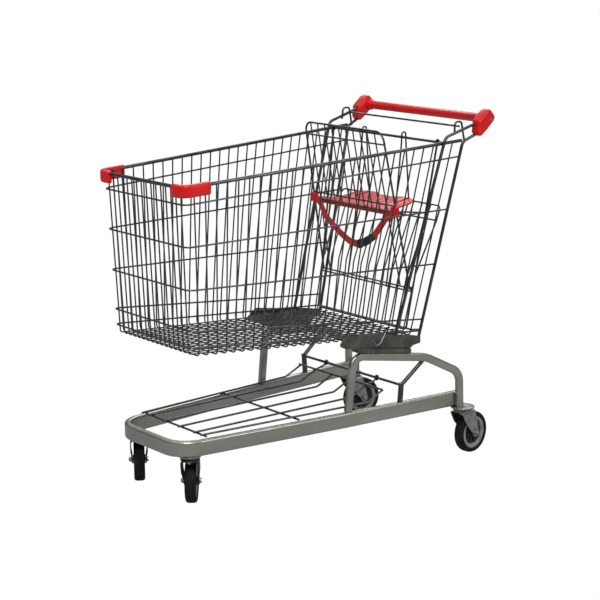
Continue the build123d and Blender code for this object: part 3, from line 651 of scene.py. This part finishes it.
def make_axle(name):
    """Bolt with a low head on one side and a lock nut with the thread's end on the other."""
    place = wheel_place(name)
    outer = FORK_INSIDE + FORK_THICK
    end = outer + 2
    bolt_profile = [(0, -outer - 8.5), (3.2, -outer - 8.5), (4, -outer - 7.5), (4, end), (0, end)]
    bolt = lathe("bolt", bolt_profile, place, 24)
    washer = [(3.9, 0), (8.2, 0), (8.2, 1.3), (3.9, 1.3)]
    parts = [bolt]
    for side in (-1, 1):
        turn = IDENTITY if side > 0 else Matrix.Rotation(math.pi, 4, "X")
        parts.append(lathe("washer", washer, place @ turn @ Matrix.Translation((0, 0, outer * MM)), 32))
    head_place = place @ Matrix.Translation((0, 0, (outer + 1.3 + 2.2) * MM))
    parts.append(slab("head", [hexagon(13)], 4.4, 0.7, head_place))
    nut_place = place @ Matrix.Translation((0, 0, -(outer + 1.3 + 2.6) * MM))
    parts.append(slab("nut", [hexagon(13, 0.4)], 5.2, 0.7, nut_place))
    nylon = [(4.1, 0), (5.8, 0), (5.4, 1.6), (4.1, 1.6)]
    end_place = place @ Matrix.Rotation(math.pi, 4, "X") @ Matrix.Translation((0, 0, (outer + 6.4) * MM))
    parts.append(lathe("nut_collar", nylon, end_place, 32))
    mesh = joined("axle_bolt", parts)
    add_piece(f"{name}_axle_bolt", mesh, f"{name}_caster", "bolt_steel", f"{name}_axle")


def make_housings():
    """The upper race plates under the chassis, one pair at each end of the cart."""
    for end in ("rear", "front"):
        low, high = (millimetres(corner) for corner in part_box(f"{end}_caster_housings"))
        discs = []
        for side in ("left", "right"):
            pivot = JOINTS[f"{end}_{side}_swivel"]["pos_m"]
            size = high.y - abs(pivot[1]) / MM
            cup = [
                (7, low.z + 0.2), (size - 7, low.z + 0.2), (size - 2, low.z + 1.6), (size, high.z - 2),
                (size, high.z), (7, high.z),
            ]
            place = Matrix.Translation((pivot[0], pivot[1], 0))
            discs.append(lathe("disc", rounded(cup, [0.3, 2, 2, 0.8, 0.8, 0.3], 3), place, 56))
        slot = SLOTS[f"{end}_caster_housings"]
        add_piece(f"{end}_race_plates", joined("race_plates", discs), "root", slot, f"{end}_caster_housings")


def make_casters():
    make_housings()
    for name in CASTERS:
        make_wheel(name)
        make_fork(name)
        make_axle(name)


# ---------------------------------------------------------------------------------------------
# Child seat

PLATE_AXIS = millimetres(JOINTS["seat_flap"]["pos_m"])
PLATE_RISE = math.radians(9)
PLATE_THICK = 5.0
LIP_R = 9.0
LIP_BORE = 3.1
LIP_HALF = 165.0
# One half of the plate's outline, as (distance behind the hinge, y) points from the lip to the middle
PLATE_SHAPE = ((0, 164), (14, 164), (26, 132), (92, 132), (125, 104), (125, 52), (108, 22), (104, 0))
PLATE_CORNERS = (0, 8, 10, 26, 24, 20, 14, 0)
SLOT_Y = 88.0
SLOT_START = 60.0
SLOT_HALF = 6.0
BELT_X = sum(corner[0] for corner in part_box("right_strap")) / 2 / MM
BELT_HALF = 11.0
BELT_THICK = 1.8
RIGHT_ROUTE = ((-184, 758), (-148, 736), (-124, 699), (-60, 660), (-14, 639), (26, 634))
RIGHT_BENDS = (0, 30, 40, 80, 60, 0)
LEFT_ROUTE = ((184, 745), (150, 729), (124, 699), (97, 668))
LEFT_BENDS = (0, 30, 40, 0)
BUCKLE_MIDDLE = (62, 648)


def plate_place(lift=0.0):
    """Origin on the hinge axis: X runs back along the plate, Y to the right, Z up through it."""
    place = Matrix.Translation(PLATE_AXIS * MM) @ Matrix.Rotation(PLATE_RISE, 4, "Y")
    return place @ Matrix.Rotation(math.pi, 4, "Z") @ Matrix.Translation((0, 0, lift * MM))


def plate_outline():
    """The plate's edge with its two lobes and, in each, the open slot for a hairpin."""
    half = rounded(PLATE_SHAPE, PLATE_CORNERS, 7)
    left = []
    slot = [(SLOT_Y + SLOT_HALF, True), (SLOT_Y - SLOT_HALF, False)]
    for here, ahead in zip(half, half[1:]):
        left.append(here)
        for y, inward in slot:
            if here[1] > y >= ahead[1]:
                share = (here[1] - y) / (here[1] - ahead[1])
                rim = (here[0] + (ahead[0] - here[0]) * share, y)
                bottom = [
                    (SLOT_START + SLOT_HALF - SLOT_HALF * math.sin(t), SLOT_Y + SLOT_HALF * math.cos(t))
                    for t in (math.pi / 2 * k / 5 for k in range(6))
                ]
                if inward:
                    left += [rim, *bottom]
                else:
                    left += [(x, 2 * SLOT_Y - y_round) for x, y_round in reversed(bottom[:-1])] + [rim]
    left.append(half[-1])
    return left + [(x, -y) for x, y in reversed(left[:-1])]


def make_plate():
    """Moulded seat: a thick front lip on the hinge, a flat with soft edges, ribs, lobes and slots."""
    flat = slab("flat", [plate_outline()], PLATE_THICK, 1.3, plate_place(PLATE_THICK / 2), 3)
    end = LIP_HALF - 0.2
    lip = [
        (LIP_BORE, -end), (LIP_R - 2, -end), (LIP_R, -end + 2),
        (LIP_R, end - 2), (LIP_R - 2, end), (LIP_BORE, end),
    ]
    roll = lathe("roll", rounded(lip, [0.4, 1, 1, 1, 1, 0.4], 3), axis_place(PLATE_AXIS * MM, (0, 1, 0)), 48)
    parts = [flat, roll]
    rib_long, rib_half, rib_high = 74.0, 1.5, 1.4
    for y in (-118, -66, -40, -14, 14, 40, 66, 118):
        low, high, far = y - rib_half, y + rib_half, 13 + rib_long
        rib = rounded([(13, low), (far, low), (far, high), (13, high)], 1.2, 2)
        parts.append(slab("rib", [rib], rib_high, 0.4, plate_place(PLATE_THICK + rib_high / 2 - 0.5), 2))
    add_piece("seat_pan", joined("seat_pan", parts), "seat", "red_plastic", "seat_plate")


def strap_mesh(name, route, bends):
    """A woven band along the route, with its UV in millimetres: across, then along."""
    path = rounded(route, list(bends), 10)
    half, thick = BELT_HALF, BELT_THICK / 2
    ring = [(-half + 0.6, -thick), (-half, 0), (-half + 0.6, thick)]
    ring += [(w, thick) for w in (-half / 2, 0, half / 2)]
    ring += [(half - 0.6, thick), (half, 0), (half - 0.6, -thick)]
    ring += [(w, -thick) for w in (half / 2, 0, -half / 2)]
    bm = bmesh.new()
    layer = bm.loops.layers.uv.new("weave")
    rows, length = [], 0.0
    place_of = {}
    for i, (y, z) in enumerate(path):
        before, after = path[max(i - 1, 0)], path[min(i + 1, len(path) - 1)]
        along = Vector((after[0] - before[0], after[1] - before[1])).normalized()
        if i:
            length += math.dist(path[i - 1], path[i])
        row = []
        for across, depth in ring:
            point = (BELT_X + depth, y - along.y * across, z + along.x * across)
            vert = bm.verts.new(Vector(point) * MM)
            place_of[vert] = (across, length)
            row.append(vert)
        rows.append(row)
    for row, ahead in zip(rows, rows[1:]):
        for k in range(len(ring)):
            j = (k + 1) % len(ring)
            bm.faces.new((row[k], row[j], ahead[j], ahead[k]))
    bm.faces.new(list(reversed(rows[0])))
    bm.faces.new(rows[-1])
    bmesh.ops.recalc_face_normals(bm, faces=bm.faces)
    for face in bm.faces:
        for loop in face.loops:
            loop[layer].uv = place_of[loop.vert]
    mesh = bpy.data.meshes.new(name)
    bm.to_mesh(mesh)
    bm.free()
    soften(mesh)
    return mesh, length * MM


def make_straps():
    for name, node, route, bends in (
        ("right_webbing", "right_strap", RIGHT_ROUTE, RIGHT_BENDS),
        ("left_webbing", "left_strap", LEFT_ROUTE, LEFT_BENDS),
    ):
        mesh, length = strap_mesh(name, route, bends)
        piece = add_piece(name, mesh, "seat_back", "red_belt", node)


def belt_place(start, stop):
    """Origin between two (y, z) points of the belt: X runs along it, Y up across it, Z forward."""
    along = Vector((0, stop[0] - start[0], stop[1] - start[1])).normalized()
    out = Vector((1, 0, 0))
    place = Matrix((along, out.cross(along), out)).transposed().to_4x4()
    place.translation = Vector((BELT_X, (start[0] + stop[0]) / 2, (start[1] + stop[1]) / 2)) * MM
    return place


def make_buckle():
    """A side-release buckle: a hollow-sided body, and a tongue whose two prongs show in the sides."""
    start, middle, stop = RIGHT_ROUTE[-1], BUCKLE_MIDDLE, LEFT_ROUTE[-1]
    body_place = belt_place(start, middle)
    reach = math.dist(start, middle) / 2
    body = [
        (-reach, -12), (-reach + 7, -13.4), (-4, -13.4), (2, -10.2),
        (reach - 5, -10.2), (reach, -13), (reach, 13),
        (reach - 5, 10.2), (2, 10.2), (-4, 13.4), (-reach + 7, 13.4), (-reach, 12),
    ]
    window = [(-reach + 5, -9), (-reach + 9, -9), (-reach + 9, 9), (-reach + 5, 9)]
    shell = slab("shell", [rounded(body, 2.4, 4), rounded(window, 1.5, 3)], 9.4, 2.0, body_place, 4)
    press = slab("press", [rounded([(-6, -5), (8, -5), (8, 5), (-6, 5)], 4, 5)], 10.6, 0.8, body_place, 3)
    buckle = joined("buckle_shell", [shell, press])
    add_piece("buckle_shell", buckle, "seat_back", "black_plastic", "buckle_body")
    tongue_place = belt_place(middle, stop)
    reach = math.dist(middle, stop) / 2
    head = [(-reach + 0.6, -12.2), (reach, -10.5), (reach, 10.5), (-reach + 0.6, 12.2)]
    slot = [(reach - 9, -8.5), (reach - 5, -8.5), (reach - 5, 8.5), (reach - 9, 8.5)]
    tongue = slab("tongue", [rounded(head, 3, 4), rounded(slot, 1.5, 3)], 7.6, 1.8, tongue_place, 4)
    prongs = [tongue]
    for side in (-1, 1):
        prong = [
            (-reach - 15, side * 10.4), (-reach - 12, side * 12.6),
            (-reach + 3, side * 12.0), (-reach + 3, side * 8.5),
        ]
        prongs.append(slab("prong", [rounded(prong, 1.2, 3)], 5.0, 1.0, tongue_place, 3))
    add_piece("buckle_plug", joined("buckle_plug", prongs), "seat_back", "black_plastic", "buckle_tongue")


def make_belt_tabs():
    """The belt's anchors: a rounded tab around each side wire of the panel, with a rivet."""
    low, high = (millimetres(corner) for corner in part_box("belt_anchors"))
    wide, tall, deep = 24.0, high.z - low.z, high.x - low.x
    y = high.y - wide / 2
    place = axis_place(((low.x + high.x) / 2 * MM, y * MM, (low.z + high.z) / 2 * MM), (1, 0, 0))
    half_y, half_z = wide / 2, tall / 2
    corners = [(-half_y, -half_z), (half_y, -half_z), (half_y, half_z), (-half_y, half_z)]
    outline = rounded(corners, [5, 5, 5, 5], 5)
    block = slab("tab", [outline], deep, 3.0, place, 5)
    rivet_place = place @ Matrix.Translation((0, 0, (deep / 2 - 0.6) * MM))
    rivet = lathe("rivet", [(0, 0), (3.6, 0), (3.2, 1.2), (2.2, 1.9), (0, 2.2)], rivet_place, 24)
    left = joined("belt_tabs", [block, rivet])
    both = joined("belt_tabs", [left, mirrored(left, "right_tab")])
    add_piece("belt_tabs", both, "seat_back", "red_plastic", "belt_anchors")


# ---------------------------------------------------------------------------------------------
# Chassis

SADDLE_LOW = millimetres(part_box("left_saddle")[0])
SADDLE_REAR = (150.0, 230.44)
SADDLE_NOSE = (452.0, 215.62)
SADDLE_SHAPE = (
    (302, 398), (274, 386), (46, 345), (29, 360), (0, 364), (0, 384), (43, 394), (220, 422), (261, 428)
)
SADDLE_CORNERS = (10, 8, 6, 6, 3, 3, 8, 8, 10)
SHELF_SHAPE = ((91, -12), (286, -6), (286, 23), (91, 8))
SHELF_RISE = math.atan2(28.9, 195.0)
SHELF_LEVEL = 336.5
PLUG_LOW, PLUG_HIGH = (millimetres(corner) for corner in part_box("chassis_plugs"))


def saddle_place(out):
    """X runs forward along the basket's side, Y up, Z in towards the basket."""
    along = Vector((SADDLE_NOSE[0] - SADDLE_REAR[0], SADDLE_NOSE[1] - SADDLE_REAR[1], 0)).normalized()
    up = Vector((0, 0, 1))
    side = up.cross(along)
    place = Matrix((along, up, -side)).transposed().to_4x4()
    place.translation = (Vector((SADDLE_LOW.x, SADDLE_REAR[1], 0)) + side * out) * MM
    return place


def make_saddles():
    """Plates with a soft sheared edge; the shelf lies on the arch."""
    thick = 3.0
    plate = slab("plate", [rounded(SADDLE_SHAPE, SADDLE_CORNERS, 5)], thick, 0.9, saddle_place(thick / 2), 3)
    shelf_place = saddle_place(0) @ Matrix.Rotation(SHELF_RISE, 4, "Z")
    shelf_place = shelf_place @ Matrix.Translation((0, SHELF_LEVEL * MM, 0))
    shelf_place = shelf_place @ Matrix.Rotation(math.pi / 2, 4, "X")
    shelf = slab("shelf", [rounded(SHELF_SHAPE, 3, 4)], 13.0, 1.5, shelf_place, 3)
    left = joined("left_saddle_plate", [plate, shelf])
    add_piece("left_saddle_plate", left, "root", "saddle_steel", "left_saddle")
    right = mirrored(left, "right_saddle_plate")
    add_piece("right_saddle_plate", right, "root", "saddle_steel", "right_saddle")


def make_plugs():
    """Plastic plugs that close the chassis tube's rear ends."""
    tall, wide = PLUG_HIGH.z - PLUG_LOW.z, 18.6
    middle = Vector((PLUG_LOW.x + 2.3, PLUG_HIGH.y - wide / 2 - 0.3, (PLUG_LOW.z + PLUG_HIGH.z) / 2))
    place = axis_place(middle * MM, (-1, 0.08, 0))
    half_w, half_t = wide / 2, tall / 2
    face = rounded([(-half_w, -half_t), (half_w, -half_t), (half_w, half_t), (-half_w, half_t)], 6, 6)
    left = slab("plug", [face], 4.2, 1.2, place, 4)
    both = joined("tube_plugs", [left, mirrored(left, "plug")])
    add_piece("tube_plugs", both, "root", "black_plastic", "chassis_plugs")


# ---------------------------------------------------------------------------------------------
# Stage

CAMERA_AT = (3084.2, 3871.2, 1595.6)
CAMERA_YAW = -2.2465
CAMERA_DOWN = 0.2193
CAMERA_ROLL = -0.0063
FOCAL_PIXELS = 1743.8
PICTURE_PIXELS = 600


def make_camera():
    camera = bpy.data.cameras.new("camera")
    camera.sensor_width = 36.0
    camera.lens = camera.sensor_width * FOCAL_PIXELS / PICTURE_PIXELS
    camera.clip_end = 200
    holder = bpy.data.objects.new("camera", camera)
    bpy.context.scene.collection.objects.link(holder)
    cos_down = math.cos(CAMERA_DOWN)
    level = (math.cos(CAMERA_YAW) * cos_down, math.sin(CAMERA_YAW) * cos_down)
    ahead = Vector((*level, -math.sin(CAMERA_DOWN)))
    flat_right = Vector((math.sin(CAMERA_YAW), -math.cos(CAMERA_YAW), 0))
    flat_up = flat_right.cross(ahead)
    right = flat_right * math.cos(CAMERA_ROLL) + flat_up * math.sin(CAMERA_ROLL)
    up = flat_up * math.cos(CAMERA_ROLL) - flat_right * math.sin(CAMERA_ROLL)
    place = Matrix((right, up, -ahead)).transposed().to_4x4()
    place.translation = Vector(CAMERA_AT) * MM
    holder.matrix_world = place
    bpy.context.scene.camera = holder


def make_floor():
    """A floor that looks pure white to the camera, and lights the cart from below like pale paper."""
    material, tree, shader = new_material("studio_floor")
    shader.inputs["Base Color"].default_value = (0.42, 0.42, 0.42, 1)
    shader.inputs["Roughness"].default_value = 0.9
    white = tree.nodes.new("ShaderNodeEmission")
    white.inputs["Color"].default_value = (1, 1, 1, 1)
    seen = tree.nodes.new("ShaderNodeLightPath")
    choice = tree.nodes.new("ShaderNodeMixShader")
    tree.links.new(seen.outputs["Is Camera Ray"], choice.inputs["Fac"])
    tree.links.new(shader.outputs["BSDF"], choice.inputs[1])
    tree.links.new(white.outputs["Emission"], choice.inputs[2])
    tree.links.new(choice.outputs["Shader"], tree.nodes["Material Output"].inputs["Surface"])
    far = 90.0
    mesh = bpy.data.meshes.new("studio_floor")
    mesh.from_pydata([(-far, -far, 0), (far, -far, 0), (far, far, 0), (-far, far, 0)], [], [(0, 1, 2, 3)])
    mesh.materials.append(material)
    floor = bpy.data.objects.new("studio_floor", mesh)
    bpy.context.scene.collection.objects.link(floor)


def add_light(name, place, target, size, watts, colour=(1, 1, 1)):
    light = bpy.data.lights.new(name, "AREA")
    light.shape = "RECTANGLE"
    light.size, light.size_y = size
    light.energy = watts
    light.color = colour
    holder = bpy.data.objects.new(name, light)
    holder.location = place
    aim = Vector(target) - Vector(place)
    holder.rotation_euler = aim.to_track_quat("-Z", "Y").to_euler()
    bpy.context.scene.collection.objects.link(holder)


def make_world():
    """A soft sky: bright overhead, dim at eye level, so that plated steel shows light and dark bands.
    Seen directly it is as white as the floor."""
    world = bpy.data.worlds.new("studio")
    world.use_nodes = True
    tree = world.node_tree
    background = tree.nodes["Background"]
    coordinates = tree.nodes.new("ShaderNodeTexCoord")
    split = tree.nodes.new("ShaderNodeSeparateXYZ")
    ramp = tree.nodes.new("ShaderNodeValToRGB")
    tree.links.new(coordinates.outputs["Generated"], split.inputs["Vector"])
    tree.links.new(split.outputs["Z"], ramp.inputs["Fac"])
    tree.links.new(ramp.outputs["Color"], background.inputs["Color"])
    ramp.color_ramp.elements[0].position = 0.0
    ramp.color_ramp.elements[0].color = (0.10, 0.10, 0.10, 1)
    ramp.color_ramp.elements[1].position = 0.8
    ramp.color_ramp.elements[1].color = (0.85, 0.85, 0.85, 1)
    middle = ramp.color_ramp.elements.new(0.35)
    middle.color = (0.22, 0.22, 0.22, 1)
    background.inputs["Strength"].default_value = 1.0
    white = tree.nodes.new("ShaderNodeBackground")
    white.inputs["Color"].default_value = (1, 1, 1, 1)
    seen = tree.nodes.new("ShaderNodeLightPath")
    choice = tree.nodes.new("ShaderNodeMixShader")
    tree.links.new(seen.outputs["Is Camera Ray"], choice.inputs["Fac"])
    tree.links.new(background.outputs["Background"], choice.inputs[1])
    tree.links.new(white.outputs["Background"], choice.inputs[2])
    tree.links.new(choice.outputs["Shader"], tree.nodes["World Output"].inputs["Surface"])
    bpy.context.scene.world = world


def make_stage():
    make_world()
    make_floor()
    make_camera()
    middle = (0, 0, 0.5)
    add_light("key", (2.2, 2.6, 3.4), middle, (2.0, 2.0), 75)
    add_light("side", (-1.6, 3.6, 2.2), middle, (1.2, 2.0), 22)
    add_light("back", (-2.6, -2.8, 3.2), middle, (2.4, 1.6), 45)
    bpy.context.scene.view_settings.view_transform = "Standard"
    bpy.context.scene.view_settings.look = "None"


# ---------------------------------------------------------------------------------------------

dress_frame_nodes()
make_sleeve()
make_caps()
make_cap_screws()
make_bumpers()
make_casters()
make_plate()
make_belt_tabs()
make_straps()
make_buckle()
make_saddles()
make_plugs()
make_stage()
